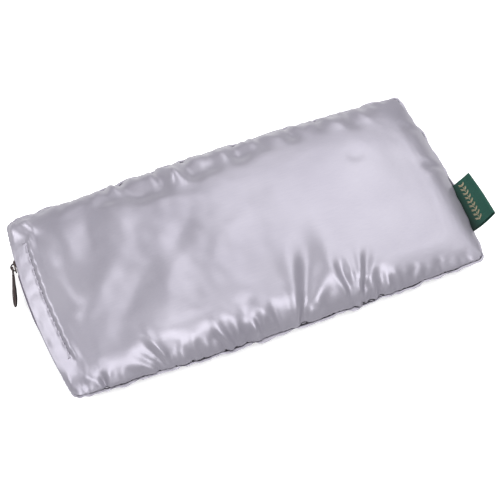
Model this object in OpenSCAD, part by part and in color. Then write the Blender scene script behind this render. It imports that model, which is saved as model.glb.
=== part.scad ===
// Zipped eye pillow: a seed filled bag inside a removable satin cover.
// Millimetres, +Z up. The origin is the centre of the flat face that the pillow rests on.
// The zip end is at -X, the end with the sewn-in label tab is at +X.

/* [Cover] */
// Length of the cover from corner to corner
cover_l = 222; // [200:1:240]
// Width of the cover from corner to corner
cover_w = 110; // [100:1:120]
// Height of the filled cover at its middle
cover_h = 26; // [22:1:30]
// How far each short end bows out beyond its corners
end_bow = 4; // [3:0.5:6]
// How far each long side bows out beyond its corners
side_bow = 3; // [1:0.5:5]
// Height of the side seams and of the zip above the rest face
seam_z = 8.5; // [8.5:0.5:10]
// Thickness of the cover cloth
cloth_t = 0.6; // [0.4:0.1:0.7]

/* [Inner bag] */
// Gap between the cover and the inner bag along the sewn sides
bag_side_gap = 3.5; // [3:0.5:6]
// Room left at the zip end for the tapes and the slider
bag_zip_gap = 12.5; // [12:0.5:20]
// Thickness of the inner bag cloth
bag_t = 0.4; // [0.3:0.1:0.5]

/* [Zip] */
// Length of the zip opening
zip_l = 76; // [60:2:80]
// Place of the closed slider along the zip, from the middle
slider_y = 27.6; // [20:0.2:27.6]
// Space between the two hem folds, where the neck of the slider runs
slit_gap = 1; // [1:0.1:1.4]
// Width of the hem strip beside the slit
hem_w = 10; // [9.5:0.5:11]
// Slope of the hem strip away from the slit, in degrees
hem_slope = 33; // [32:0.5:34]
// Distance from one coil ring to the next
coil_pitch = 1.4; // [1.4:0.1:2]

/* [Pull] */
// Length of the drop-shaped pull below its eye
pull_l = 17.5; // [12:0.5:20]
// Widest radius of the drop
pull_r = 1.25; // [1:0.05:1.6]
// How far the pull hangs down from level, in degrees
pull_droop = 15; // [5:1:18]
// How far the pull points out from the zip, in degrees
pull_out = 11; // [8:1:40]

/* [Label] */
// Width of the label tab along the seam
label_w = 30; // [20:1:40]
// Length of the tab that shows beyond the seam
label_l = 15; // [10:0.5:20]
// Middle of the tab along the seam
label_y = -24; // [-35:1:-20]
// How far the tab stands up from level, in degrees
label_tilt = 36; // [20:1:45]

/* [Hidden] */
$fn = 48;

// Colours
satin = [0.78, 0.76, 0.82];
satin_hem = [0.86, 0.84, 0.88];
thread_grey = [0.74, 0.72, 0.78];
muslin = [0.9, 0.87, 0.8];
seed_brown = [0.42, 0.28, 0.16];
tape_grey = [0.36, 0.33, 0.4];
gunmetal = [0.16, 0.14, 0.15];
label_green = [0.12, 0.27, 0.22];

// Grid of the cloth surfaces, closer together towards the seams
grid_u = 20;
grid_v = 12;

// Space between the top and bottom rims, where the seam thread lies
seam_gap = 0.6;
thread_r = 0.2;
stitch_pitch = 3;
stitch_fill = 0.75;
// Shares of an end's width that the seam rows cover
cover_row_share = 0.97;
bag_row_share = 0.96;

// Both short ends are arcs of one radius, met by the zip
end_r = (pow(cover_w / 2, 2) + pow(end_bow, 2)) / (2 * end_bow);
end_x_mid = cover_l / 2 + end_bow;
zip_cx = end_r - end_x_mid;

// Swelling of the cover above and below the seam; the drop passes the rest face and is cut flat
top_swell_p = 2.5;
bottom_swell_p = 3;
top_rise = cover_h - seam_z - seam_gap / 2;
flat_cut = 2;
bottom_drop = seam_z - seam_gap / 2 + flat_cut;
big = 400;

// Inner bag and fill: clearance inside the cover, then inside the bag
bag_clear = 0.6;
bag_rise = top_rise - cloth_t - bag_clear;
bag_drop = bottom_drop - cloth_t - bag_clear;
bag_floor = cloth_t + bag_clear / 2;
fill_clear = 0.3;
fill_rise = bag_rise - bag_t - fill_clear;
fill_drop = bag_drop - bag_t - fill_clear;
fill_floor = bag_floor + bag_t + fill_clear;

// Hem strip: cloth folded round the slit edge, with the turned-under layer inside
fold_r = 0.45;
hem_cloth_t = 0.36;
turn_in = 8.5;
panel_gap = 0.3;
hem_reach = fold_r + hem_w * cos(hem_slope) + fold_r * sin(hem_slope);
notch_depth = hem_reach + panel_gap;
notch_l = zip_l + 1;
notch_steps = 12;

// Topstitching: inset from the inner edge of the hem and from the ends of the zip, with a leg down each end
row_inset = 1.2;
row_margin = 2;
leg_margin = 1;
leg_from = 2.5;
leg_n = 3;

// Zip tape, lying under the turned-under layer
tape_t = 0.45;
tape_gap = 0.1;
tape_from = 2.4;
tape_to = 9;
tape_margin = 1;

// Zip coil: one ring per tooth, the two rows half a pitch apart
coil_r = 0.52;
coil_wire_r = 0.18;
coil_depth = 3.3;
coil_off = 0.5;
coil_part = 0.6;
part_share = 0.4;
coil_margin = 2.4;
coil_end = zip_l / 2 - coil_margin;
upper_phase = 0.75;
lower_phase = 0.25;

// Slider, in its own frame: +X out of the slit, +Y along its travel
slider_l = 8;
slider_back = [5.6, 4.9];
slider_h = 5;
slider_lip = 4.1;
slider_lip_z = 1.95;
neck_t = 0.6;
neck_l = 4;
bridge_l = 6;
bridge_h = 2.2;
bridge_x = 0.3;
bridge_t = 0.7;
neck_in = 0.2;
bail_r = 2.1;
bail_wire_r = 0.4;

// Pull: a bar inside the bail, an open eye, then the drop
pivot_x = 1.9;
pivot_y = 0.5;
pull_bar_r = 0.3;
eye_l = 3.4;
eye_w = 3;
eye_wall = 0.7;
eye_t = 0.8;
neck_r = 0.7;
belly_p = 1.6;
tip_from = 0.94;
drop_steps = 24;

// Stops
stop_w = 1.8;
stop_l = 1;
stop_h = 1.1;
staple_l = 1.2;
stop_off = 0.7;

// Label tab: a folded woven ribbon, its two plies pressed together at the root
label_t = 0.4;
label_gap = 0.8;
root_l = 2.2;
root_gap = 0.2;

// ---------- places ----------

// Half-length of the cover at y, on the bowed end
function end_x(y) = sqrt(pow(end_r, 2) - pow(y, 2)) - end_r + end_x_mid;

// Half-width of the cover at the share u of its length
function side_y(u) = cover_w / 2 + side_bow * (1 - u * u);

// Grid shares from -1 to 1, closer together at both ends
function share(i, n) = sin(90 * (2 * i / n - 1));

// Point of the plan at shares u and v, moved in from the sides, and from the zip end
function plan(u, v, inset, zip_inset) =
  let (y = v * (side_y(u) - inset))
  [u * (end_x(y) - (u < 0 ? zip_inset : inset)), y];

// How full the cushion is at u and v, 0 at the seams and 1 in the middle
function swell(u, v, p) = sqrt(1 - pow(abs(u), p)) * sqrt(1 - pow(abs(v), p));

// Angle along the zip's arc at y
function zip_angle(y) = asin(y / end_r);

// ---------- cloth sheets ----------

function top_sheet(inset, zip_inset, rise, gap) = [
  for (i = [0:grid_u], j = [0:grid_v])
    let (u = share(i, grid_u), v = share(j, grid_v), q = plan(u, v, inset, zip_inset))
    [q[0], q[1], seam_z + gap / 2 + rise * swell(u, v, top_swell_p)]
];

function bottom_sheet(inset, zip_inset, drop, gap, floor_z) = [
  for (i = [0:grid_u], j = [0:grid_v])
    let (u = share(i, grid_u), v = share(j, grid_v), q = plan(u, v, inset, zip_inset))
    [q[0], q[1], max(floor_z, seam_z - gap / 2 - drop * swell(u, v, bottom_swell_p))]
];

function at(i, j) = i * (grid_v + 1) + j;

// Numbers of the points round a sheet's edge, counter-clockwise from above
rim = concat(
  [for (i = [0:grid_u - 1]) at(i, 0)],
  [for (j = [0:grid_v - 1]) at(grid_u, j)],
  [for (i = [grid_u:-1:1]) at(i, grid_v)],
  [for (j = [grid_v:-1:1]) at(0, j)]
);

function sheet_up(base) = [
  for (i = [0:grid_u - 1], j = [0:grid_v - 1])
    let (a = base + at(i, j), b = base + at(i + 1, j), c = base + at(i + 1, j + 1), d = base + at(i, j + 1))
    each [[a, d, c], [a, c, b]]
];

function sheet_down(base) = [for (f = sheet_up(base)) [f[2], f[1], f[0]]];

// Facets that close the rims of a lower sheet and of the upper sheet numbered from base
function rim_band(base) = [
  for (k = [0:len(rim) - 1])
    let (p = rim[k], q = rim[(k + 1) % len(rim)])
    each [[p, base + p, base + q], [p, base + q, q]]
];

// Closed solid between two sheets
module shell(lower, upper) {
  n = len(lower);
  polyhedron(
    points = concat(lower, upper),
    faces = concat(sheet_down(0), rim_band(n), sheet_up(n)),
    convexity = 4
  );
}

// Room for the hems, cut out of both cover panels at the zip end
// Its sides are flat facets, like those of the panels
module zip_notch() {
  half = zip_angle(notch_l / 2);
  inner = end_r - notch_depth;
  outer = end_r + notch_depth;
  arc = [for (k = [0:notch_steps]) 180 - half + 2 * half * k / notch_steps];
  translate([zip_cx, 0, -big / 2]) linear_extrude(big) polygon(concat(
    [for (a = arc) inner * [cos(a), sin(a)]],
    [outer * [cos(180 + half), sin(180 + half)], outer * [cos(180 - half), sin(180 - half)]]
  ));
}

// ---------- zip frame ----------

// Sweeps a section, drawn as radius and height, along the middle length of the zip
module zip_sweep(length) {
  half = zip_angle(length / 2);
  translate([zip_cx, 0, 0]) rotate([0, 0, 180 - half]) rotate_extrude(angle = 2 * half, $fn = 360) children();
}

// Puts its children at y on the zip, +X outwards, +Y towards the open end of the travel
module at_zip(y) {
  translate([zip_cx, 0, seam_z]) rotate([0, 0, 180 - zip_angle(y)]) translate([end_r, 0, 0]) children();
}

// Section frame of the upper hem strip: +X up the strip from the slit, +Y to the inside
module strip_frame() {
  translate([end_r - fold_r, seam_z + slit_gap / 2 + fold_r]) rotate(180 - hem_slope) children();
}

// Mirror that turns an upper zip part into its lower twin
module lower_side() {
  translate([0, 0, 2 * seam_z]) mirror([0, 0, 1]) children();
}

// ---------- threads ----------

// One stitch from a to b, level, covering the given share of the distance
module stitch(a, b) {
  d = b - a;
  translate(a) rotate([0, 90, atan2(d[1], d[0])]) cylinder(h = norm(d) * stitch_fill, r = thread_r, $fn = 16);
}

module stitch_row(points) {
  for (k = [0:len(points) - 2]) stitch(points[k], points[k + 1]);
}

// Seam points along a long side; side is -1 for the near one and 1 for the far one
function side_row(side, inset, zip_inset) =
  let (n = floor((cover_l - inset - zip_inset) / stitch_pitch))
  [for (k = [0:n]) let (q = plan(-1 + 2 * k / n, side, inset, zip_inset)) [q[0], q[1], seam_z]];

// Seam points across an end, between two shares of its width
function end_row(end, v_from, v_to, inset, zip_inset) =
  let (n = floor((v_to - v_from) * cover_w / 2 / stitch_pitch), v_step = (v_to - v_from) / n)
  [for (k = [0:n]) let (q = plan(end, v_from + v_step * k, inset, zip_inset)) [q[0], q[1], seam_z]];

// ---------- cover ----------

module cover_top_panel() {
  color(satin) difference() {
    shell(top_sheet(cloth_t, cloth_t, top_rise - cloth_t, seam_gap), top_sheet(0, 0, top_rise, seam_gap));
    zip_notch();
  }
}

module cover_bottom_panel() {
  color(satin) difference() {
    shell(
      bottom_sheet(0, 0, bottom_drop, seam_gap, -big),
      bottom_sheet(cloth_t, cloth_t, bottom_drop - cloth_t, seam_gap, cloth_t)
    );
    zip_notch();
    translate([-big / 2, -big / 2, -big]) cube([big, big, big]);
  }
}

module front_seam_thread() {
  color(thread_grey) stitch_row(side_row(-1, cloth_t / 2, cloth_t / 2));
}

module back_seam_thread() {
  color(thread_grey) stitch_row(side_row(1, cloth_t / 2, cloth_t / 2));
}

module label_end_seam_thread() {
  color(thread_grey) stitch_row(end_row(1, -cover_row_share, cover_row_share, cloth_t / 2, 0));
}

module zip_end_seam_thread() {
  corner_row = end_row(-1, (notch_l + stitch_pitch) / cover_w, cover_row_share, 0, cloth_t / 2);
  color(thread_grey) for (side = [-1, 1])
    stitch_row([for (q = corner_row) [q[0], side * q[1], q[2]]]);
}

// ---------- inner bag ----------

module inner_bag_top() {
  color(muslin) shell(
    top_sheet(bag_side_gap + bag_t, bag_zip_gap + bag_t, bag_rise - bag_t, seam_gap),
    top_sheet(bag_side_gap, bag_zip_gap, bag_rise, seam_gap)
  );
}

module inner_bag_bottom() {
  color(muslin) shell(
    bottom_sheet(bag_side_gap, bag_zip_gap, bag_drop, seam_gap, bag_floor),
    bottom_sheet(bag_side_gap + bag_t, bag_zip_gap + bag_t, bag_drop - bag_t, seam_gap, bag_floor + bag_t)
  );
}

module inner_bag_seam_thread() {
  side_in = bag_side_gap + bag_t / 2;
  zip_in = bag_zip_gap + bag_t / 2;
  color(thread_grey) {
    for (side = [-1, 1]) stitch_row(side_row(side, side_in, zip_in));
    for (end = [-1, 1]) stitch_row(end_row(end, -bag_row_share, bag_row_share, side_in, zip_in));
  }
}

module seed_fill() {
  side_in = bag_side_gap + bag_t + fill_clear;
  zip_in = bag_zip_gap + bag_t + fill_clear;
  color(seed_brown) shell(
    bottom_sheet(side_in, zip_in, fill_drop, seam_gap, fill_floor),
    top_sheet(side_in, zip_in, fill_rise, seam_gap)
  );
}

// ---------- zip lips ----------

module upper_zip_hem() {
  color(satin_hem) zip_sweep(zip_l) strip_frame() difference() {
    union() {
      circle(r = fold_r);
      translate([0, -fold_r]) square([hem_w, 2 * fold_r]);
    }
    circle(r = fold_r - hem_cloth_t);
    translate([0, hem_cloth_t - fold_r]) square([big, 2 * (fold_r - hem_cloth_t)]);
    translate([turn_in, 0]) square(big);
  }
}

module lower_zip_hem() {
  lower_side() upper_zip_hem();
}

// Row of stitches near the inner edge of the hem, with a short leg down each end
module upper_topstitch() {
  row_n = floor((zip_l - 2 * row_margin) / stitch_pitch);
  color(thread_grey) {
    for (k = [0:row_n - 1])
      hem_point(-zip_l / 2 + row_margin + k * stitch_pitch, hem_w - row_inset) rotate([-90, 0, 0])
        cylinder(h = stitch_pitch * stitch_fill, r = thread_r, $fn = 16);
    for (end = [-1, 1], k = [0:leg_n - 1])
      hem_point(end * (zip_l / 2 - leg_margin), leg_from + k * stitch_pitch) rotate([0, hem_slope - 90, 0])
        cylinder(h = stitch_pitch * stitch_fill, r = thread_r, $fn = 16);
  }
}

// Puts its children on the outside of the upper hem, a way up the strip, in the zip frame
module hem_point(y, up) {
  at_zip(y) translate([
    -fold_r - up * cos(hem_slope) + fold_r * sin(hem_slope),
    0,
    slit_gap / 2 + fold_r + up * sin(hem_slope) + fold_r * cos(hem_slope)
  ]) children();
}

module lower_topstitch() {
  lower_side() upper_topstitch();
}

module upper_zip_tape() {
  color(tape_grey) zip_sweep(zip_l - 2 * tape_margin) strip_frame()
    translate([tape_from, fold_r + tape_gap]) square([tape_to - tape_from, tape_t]);
}

module lower_zip_tape() {
  lower_side() upper_zip_tape();
}

// Rings of the coil; phase is the place of the first ring as a share of the pitch
module coil_row(phase) {
  ring_n = floor(2 * coil_end / coil_pitch) - 1;
  color(gunmetal) for (k = [0:ring_n - 1])
    let (y = -coil_end + coil_pitch * (k + phase), parted = smooth((y - slider_y + slider_l / 2) / slider_l))
    at_zip(y) translate([-coil_depth, 0, coil_off + coil_part * parted])
      rotate([90, 0, 0]) rotate_extrude($fn = 24) translate([coil_r, 0]) circle(r = coil_wire_r, $fn = 16);
}

// Ramp from 0 to 1 along the first part of the slider, where the two coils part
function smooth(t) = let (c = min(1, max(0, t / part_share))) c * c * (3 - 2 * c);

module upper_zip_coil() {
  coil_row(upper_phase);
}

module lower_zip_coil() {
  lower_side() coil_row(lower_phase);
}

// Small crimp at the closed end of one coil
module upper_top_stop() {
  color(gunmetal) at_zip(coil_end + stop_off)
    translate([-coil_depth - stop_w / 2, -stop_l / 2, coil_off]) cube([stop_w, stop_l, stop_h]);
}

module lower_top_stop() {
  lower_side() upper_top_stop();
}

// Staple across both coils at the open end of the zip
module zip_bottom_stop() {
  color(gunmetal) at_zip(-coil_end - stop_off)
    translate([-coil_depth - stop_w / 2, -staple_l / 2, -stop_w / 2]) cube([stop_w, staple_l, stop_w]);
}

// ---------- slider ----------

// Channel section behind the slit: back plate with a lip over each coil
module channel_section() {
  half = slider_h / 2;
  polygon([
    [-slider_back[0], -half],
    [-slider_back[1], -half],
    [-slider_lip, -slider_lip_z],
    [-slider_back[1], -slider_lip_z],
    [-slider_back[1], slider_lip_z],
    [-slider_lip, slider_lip_z],
    [-slider_back[1], half],
    [-slider_back[0], half]
  ]);
}

module slider_body() {
  color(gunmetal) at_zip(slider_y) {
    rotate([90, 0, 0]) translate([0, 0, -slider_l / 2]) linear_extrude(slider_l) channel_section();
    translate([-slider_back[1] - neck_in, -neck_l, -neck_t / 2])
      cube([slider_back[1] + bridge_x + 2 * neck_in, neck_l, neck_t]);
    translate([bridge_x, -bridge_l / 2, -bridge_h / 2]) cube([bridge_t, bridge_l, bridge_h]);
  }
}

// Arch that holds the pull, its feet let into the bridge
module slider_bail() {
  color(gunmetal) at_zip(slider_y) translate([bridge_x + bridge_t / 2, 0, 0]) rotate([0, 0, -90])
    rotate_extrude(angle = 180) translate([bail_r, 0]) circle(r = bail_wire_r, $fn = 24);
}

// Radius of the drop at the share t of its length: slim neck, full belly, round tip
function drop_r(t) =
  let (cap = t > tip_from ? sqrt(max(0, 1 - pow((t - tip_from) / (1 - tip_from), 2))) : 1)
  cap * (neck_r + (pull_r - neck_r) * sin(180 * pow(t, belly_p)));

module pull_tab() {
  color(gunmetal) at_zip(slider_y) translate([pivot_x, pivot_y, 0])
    rotate([0, 0, -pull_out]) rotate([-pull_droop, 0, 0]) {
      cylinder(h = eye_w + eye_wall, r = pull_bar_r, center = true, $fn = 96);
      for (side = [-1, 1]) translate([-eye_t / 2, -eye_t / 2, side * (eye_w + eye_wall) / 2 - eye_wall / 2])
        cube([eye_t, eye_t / 2 + eye_l, eye_wall]);
      translate([-eye_t / 2, eye_l - eye_wall, -eye_w / 2 - eye_wall])
        cube([eye_t, 1.5 * eye_wall, eye_w + 2 * eye_wall]);
      translate([0, eye_l, 0]) rotate([-90, 0, 0]) rotate_extrude($fn = 96)
        polygon([[0, 0], for (k = [0:drop_steps]) [drop_r(k / drop_steps), pull_l * k / drop_steps]]);
    }
}

// ---------- label ----------

module label_loop() {
  root = [end_x(label_y) + cloth_t, label_y, seam_z];
  half = label_t + label_gap / 2;
  fold_x = label_l - half;
  color(label_green) translate(root) rotate([0, 0, zip_angle(label_y)]) rotate([0, -label_tilt, 0])
    rotate([90, 0, 0]) linear_extrude(label_w, center = true) difference() {
      union() {
        polygon([[root_gap, -root_gap], [root_l, -half], [root_l, half], [root_gap, root_gap]]);
        translate([root_l, -half]) square([fold_x - root_l, 2 * half]);
        translate([fold_x, 0]) circle(r = half);
      }
      translate([root_l, -label_gap / 2]) square([fold_x - root_l, label_gap]);
      translate([fold_x, 0]) circle(r = label_gap / 2);
    }
}

// ---------- parts ----------

cover_top_panel();
cover_bottom_panel();
front_seam_thread();
back_seam_thread();
label_end_seam_thread();
zip_end_seam_thread();
inner_bag_top();
inner_bag_bottom();
inner_bag_seam_thread();
seed_fill();
upper_zip_hem();
lower_zip_hem();
upper_topstitch();
lower_topstitch();
upper_zip_tape();
lower_zip_tape();
upper_zip_coil();
lower_zip_coil();
upper_top_stop();
lower_top_stop();
zip_bottom_stop();
slider_body();
slider_bail();
pull_tab();
label_loop();
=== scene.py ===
"""Zipped eye pillow: satin cover, end zip, label tab and inner seed bag, dressed on the CAD frame.

Lengths are in millimetres until a mesh is made. +Z is up, the zip end is at -X, the label end at +X.
"""

import math

import bpy
import numpy as np
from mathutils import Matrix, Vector, noise
from mathutils.bvhtree import BVHTree


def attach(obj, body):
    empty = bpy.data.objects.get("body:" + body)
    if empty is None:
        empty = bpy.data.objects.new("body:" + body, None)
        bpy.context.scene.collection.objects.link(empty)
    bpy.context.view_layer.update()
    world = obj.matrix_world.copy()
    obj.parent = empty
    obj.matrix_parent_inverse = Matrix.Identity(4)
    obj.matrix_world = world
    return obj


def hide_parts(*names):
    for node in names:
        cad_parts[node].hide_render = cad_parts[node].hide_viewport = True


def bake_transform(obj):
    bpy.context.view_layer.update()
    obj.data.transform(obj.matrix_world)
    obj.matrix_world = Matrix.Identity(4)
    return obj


MM = 0.001

# Plan of the cover and its seam
COVER_L = 222.0
COVER_W = 110.0
END_BOW = 4.0
SIDE_BOW = 3.0
SEAM_Z = 8.5
TOP_RISE = 17.4
BOTTOM_DROP = 10.4
TOP_POWER = 2.5
BOTTOM_POWER = 3.0
END_R = ((COVER_W / 2) ** 2 + END_BOW**2) / (2 * END_BOW)
END_X = COVER_L / 2 + END_BOW
ZIP_CX = END_R - END_X
FLOOR_GAP = 0.02
STITCH_PITCH = 3.0

# Hem strip on each side of the slit
ZIP_HALF = 38.0
SLIT_HALF = 0.5
FOLD_R = 0.45
RIM_R = 0.15
STRIP_SLOPE = math.radians(33)
TURN_IN = 8.5
STITCH_ROW = 8.8
CLOTH_T = 0.36

# Zip
COIL_R = 0.52
COIL_WIRE_R = 0.18
COIL_PITCH = 1.4
COIL_DEPTH = 3.3
COIL_END = 35.6
STOP_Y = 36.3
SLIDER_Y = 27.6
SLIDER_L = 8.0

# Label tab
LABEL_Y = -24.0
LABEL_HALF = 15.0
RIBBON_T = 0.34

rng = np.random.default_rng(11)


# ---------- small helpers ----------


def smooth(a, b, x):
    """0 up to a, 1 from b, with an easy turn between."""
    t = np.clip((np.asarray(x, float) - a) / (b - a), 0, 1)
    return t * t * (3 - 2 * t)


def bell(x):
    return np.exp(-np.square(x))


def ripple(points, size, seed):
    """Smooth noise from -1 to 1 at points, with features of the given size."""
    flat = np.asarray(points, float).reshape(-1, 3) / size
    values = [noise.noise(Vector(p) + Vector((seed, 2 * seed, 3 * seed))) for p in flat]
    return np.array(values).reshape(np.shape(points)[:-1])


def mesh_object(name, points, faces, material, smooth_faces=True):
    """Object from points in millimetres."""
    mesh = bpy.data.meshes.new(name)
    mesh.from_pydata((np.asarray(points) * MM).tolist(), [], [tuple(map(int, f)) for f in faces])
    mesh.update()
    mesh.polygons.foreach_set("use_smooth", [smooth_faces] * len(mesh.polygons))
    mesh.materials.append(material)
    made = bpy.data.objects.new(name, mesh)
    bpy.context.scene.collection.objects.link(made)
    return made


def grid_faces(rows, cols, wrap=False, base=0):
    """Quads of a rows x cols grid of points; wrap joins the last column to the first."""
    faces = []
    for i in range(rows - 1):
        here = base + i * cols
        there = here + cols
        for j in range(cols if wrap else cols - 1):
            k = (j + 1) % cols
            faces.append((here + j, here + k, there + k, there + j))
    return faces


def tube(path, radius, sides):
    """Points and faces of a round tube with closed ends along a path.

    The radius may change along it."""
    path = np.asarray(path, float)
    radius = np.broadcast_to(radius, len(path))
    along = np.gradient(path, axis=0)
    along /= np.linalg.norm(along, axis=1)[:, None]
    side = np.cross(along, [0.0, 0.0, 1.0])
    flat = np.linalg.norm(side, axis=1) < 0.05
    side[flat] = np.cross(along[flat], [0.0, 1.0, 0.0])
    side /= np.linalg.norm(side, axis=1)[:, None]
    other = np.cross(side, along)
    turn = np.linspace(0, 2 * math.pi, sides, endpoint=False)
    ring = np.cos(turn)[None, :, None] * side[:, None, :]
    ring = ring + np.sin(turn)[None, :, None] * other[:, None, :]
    points = (path[:, None, :] + radius[:, None, None] * ring).reshape(-1, 3)
    faces = grid_faces(len(path), sides, wrap=True)
    faces.append(tuple(range(sides)))
    last = (len(path) - 1) * sides
    faces.append(tuple(range(last + sides - 1, last - 1, -1)))
    return points, faces


def stitch(start, end, radius, sag=0.0, down=(0, 0, -1)):
    """One rounded stitch from start to end, its ends diving into the cloth."""
    t = np.linspace(0, 1, 7)
    from_middle = 2 * t - 1
    path = np.asarray(start)[None, :] * (1 - t)[:, None] + np.asarray(end)[None, :] * t[:, None]
    path = path + np.asarray(down)[None, :] * (sag * from_middle**4)[:, None]
    width = radius * np.sqrt(np.clip(1.02 - from_middle**2, 0.02, 1)) ** 0.6
    return tube(path, width, 8)


def merge(parts):
    """Points and faces of several (points, faces) pairs as one mesh."""
    points, faces, base = [], [], 0
    for part_points, part_faces in parts:
        points.append(part_points)
        faces.extend([tuple(base + k for k in face) for face in part_faces])
        base += len(part_points)
    return np.concatenate(points), faces


# ---------- materials ----------


class Nodes:
    """A material's node tree, with short calls that add a node and join its inputs."""

    def __init__(self, name):
        self.material = bpy.data.materials.new(name)
        self.material.use_nodes = True
        self.tree = self.material.node_tree
        self.shader = self.tree.nodes["Principled BSDF"]

    def add(self, kind, settings=None, **inputs):
        node = self.tree.nodes.new(kind)
        for key, value in (settings or {}).items():
            setattr(node, key, value)
        for key, value in inputs.items():
            self.join(node, key.replace("_", " "), value)
        return node

    def join(self, node, name, value):
        if isinstance(value, bpy.types.NodeSocket):
            self.tree.links.new(value, node.inputs[name])
        else:
            node.inputs[name].default_value = value

    def surface(self, **inputs):
        for key, value in inputs.items():
            self.join(self.shader, key.replace("_", " "), value)

    def place(self, scale):
        """Object coordinates in units of scale millimetres."""
        coord = self.add("ShaderNodeTexCoord")
        stretch = [1 / (s * MM) for s in scale]
        return self.add("ShaderNodeMapping", Vector=coord.outputs["Object"], Scale=stretch).outputs[0]

    def cloud(self, scale, detail=2.0, rough=0.5):
        """Noise with features of the given size in millimetres along x, y and z."""
        place = self.place(scale)
        kind = "ShaderNodeTexNoise"
        return self.add(kind, Vector=place, Scale=1.0, Detail=detail, Roughness=rough).outputs["Fac"]

    def thread(self, pitch, direction, warp=0.4):
        """Wave stripes one pitch apart across a direction of the object.

        Blender puts 20 / (2 pi) waves in a unit at scale 1."""
        place = self.place((pitch, pitch, pitch))
        settings = {"wave_type": "BANDS", "bands_direction": direction, "wave_profile": "SIN"}
        scale = 2 * math.pi / 20
        wave = self.add("ShaderNodeTexWave", settings, Vector=place, Scale=scale, Distortion=warp)
        return wave.outputs["Fac"]

    def ramp(self, value, low, high, dark, light):
        """Colour from dark, where the value is low, to light, where it is high."""
        node = self.add("ShaderNodeValToRGB", Fac=value)
        first, last = node.color_ramp.elements
        first.position = low
        first.color = (*dark, 1)
        last.position = high
        last.color = (*light, 1)
        return node.outputs["Color"]

    def mix(self, share, a, b, kind="MIX"):
        node = self.add("ShaderNodeMix", {"data_type": "RGBA", "blend_type": kind})
        self.join(node, 0, share)
        self.tree.links.new(a, node.inputs[6])
        self.tree.links.new(b, node.inputs[7])
        return node.outputs[2]

    def level(self, value, low, high):
        """Spreads a value from 0 to 1 between low and high."""
        node = self.add("ShaderNodeMapRange")
        self.join(node, "Value", value)
        self.join(node, "To Min", low)
        self.join(node, "To Max", high)
        return node.outputs[0]

    def sum(self, a, b, kind="ADD"):
        node = self.add("ShaderNodeMath", {"operation": kind})
        self.join(node, 0, a)
        self.join(node, 1, b)
        return node.outputs[0]

    def bump(self, height, depth_mm, strength=1.0):
        node = self.add("ShaderNodeBump", Height=height, Distance=depth_mm * MM, Strength=strength)
        self.surface(Normal=node.outputs[0])


def satin_material(name, dark, light, roughness):
    """Satin: long floats of yarn along X, a soft broad sheen, slight slubs and painted shade in its creases.
    """
    m = Nodes(name)
    slub = m.cloud((9, 0.35, 0.35), detail=3)
    yarn = m.cloud((0.9, 0.14, 0.14), detail=1)
    patch = m.cloud((38, 30, 30), detail=2)
    tone = m.sum(m.sum(slub, 0.35, "MULTIPLY"), m.sum(patch, 0.65, "MULTIPLY"))
    # Painted shade: ambient occlusion darkens the base colour in creases and folds.
    shade = m.add("ShaderNodeAmbientOcclusion", {"samples": 6}, Distance=2.2 * MM).outputs["AO"]
    painted_crease_shade = m.ramp(shade, 0.25, 0.85, (0.22, 0.19, 0.24), (1, 1, 1))
    cloth = m.ramp(tone, 0.35, 0.65, dark, light)
    m.surface(
        Base_Color=m.mix(1, cloth, painted_crease_shade, "MULTIPLY"),
        Roughness=m.level(slub, roughness - 0.03, roughness + 0.05),
        Metallic=0.45,
        Specular_IOR_Level=0.8,
        Anisotropic=0.3,
        Sheen_Weight=0.08,
        Sheen_Roughness=0.4,
    )
    m.bump(m.sum(m.sum(yarn, 0.7, "MULTIPLY"), m.sum(slub, 0.3, "MULTIPLY")), 0.03, 0.55)
    return m.material


def woven_material(name, dark, light, pitch, roughness, sheen=0.1, depth=0.08):
    """Plain weave: two sets of threads crossing, one pitch apart."""
    m = Nodes(name)
    warp = m.thread(pitch, "X")
    weft = m.thread(pitch, "Y")
    height = m.sum(warp, weft, "MAXIMUM")
    fleck = m.cloud((1.6, 1.6, 1.6), detail=4)
    tone = m.sum(m.sum(height, 0.5, "MULTIPLY"), m.sum(fleck, 0.5, "MULTIPLY"))
    m.surface(
        Base_Color=m.ramp(tone, 0.3, 0.75, dark, light),
        Roughness=m.level(fleck, roughness - 0.06, roughness + 0.06),
        Sheen_Weight=sheen,
    )
    m.bump(height, depth, 0.7)
    return m.material


def ribbon_material(name, dark, light):
    """Woven label ribbon: fine ribs, with painted shade where it leaves the seam."""
    m = Nodes(name)
    rib = m.thread(0.25, "Y", 0.2)
    fleck = m.cloud((0.5, 1.4, 0.5), detail=3)
    tone = m.sum(m.sum(rib, 0.4, "MULTIPLY"), m.sum(fleck, 0.6, "MULTIPLY"))
    # Painted shade: the colour darkens over the first few millimetres out of the seam.
    split = m.add("ShaderNodeSeparateXYZ", Vector=m.place((1, 1, 1)))
    span = m.add("ShaderNodeMapRange", Value=split.outputs[0], From_Min=END_X - 0.5, From_Max=END_X + 5)
    out = span.outputs[0]
    shade = m.ramp(out, 0, 1, tuple(0.3 * c for c in dark), dark)
    woven = m.ramp(tone, 0.2, 0.8, dark, light)
    m.surface(
        Base_Color=m.mix(m.sum(tone, out, "MULTIPLY"), shade, woven),
        Roughness=m.level(fleck, 0.5, 0.62),
        Specular_IOR_Level=0.25,
    )
    m.bump(rib, 0.05, 0.7)
    return m.material


def thread_material(name, dark, light):
    """Sewing thread: fine diagonal twist."""
    m = Nodes(name)
    twist = m.thread(0.14, "DIAGONAL")
    fleck = m.cloud((2, 2, 2), detail=3)
    tone = m.sum(m.sum(twist, 0.6, "MULTIPLY"), m.sum(fleck, 0.4, "MULTIPLY"))
    m.surface(
        Base_Color=m.ramp(tone, 0.25, 0.75, dark, light),
        Roughness=m.level(fleck, 0.45, 0.6),
        Sheen_Weight=0.2,
    )
    m.bump(twist, 0.05, 0.6)
    return m.material


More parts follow.
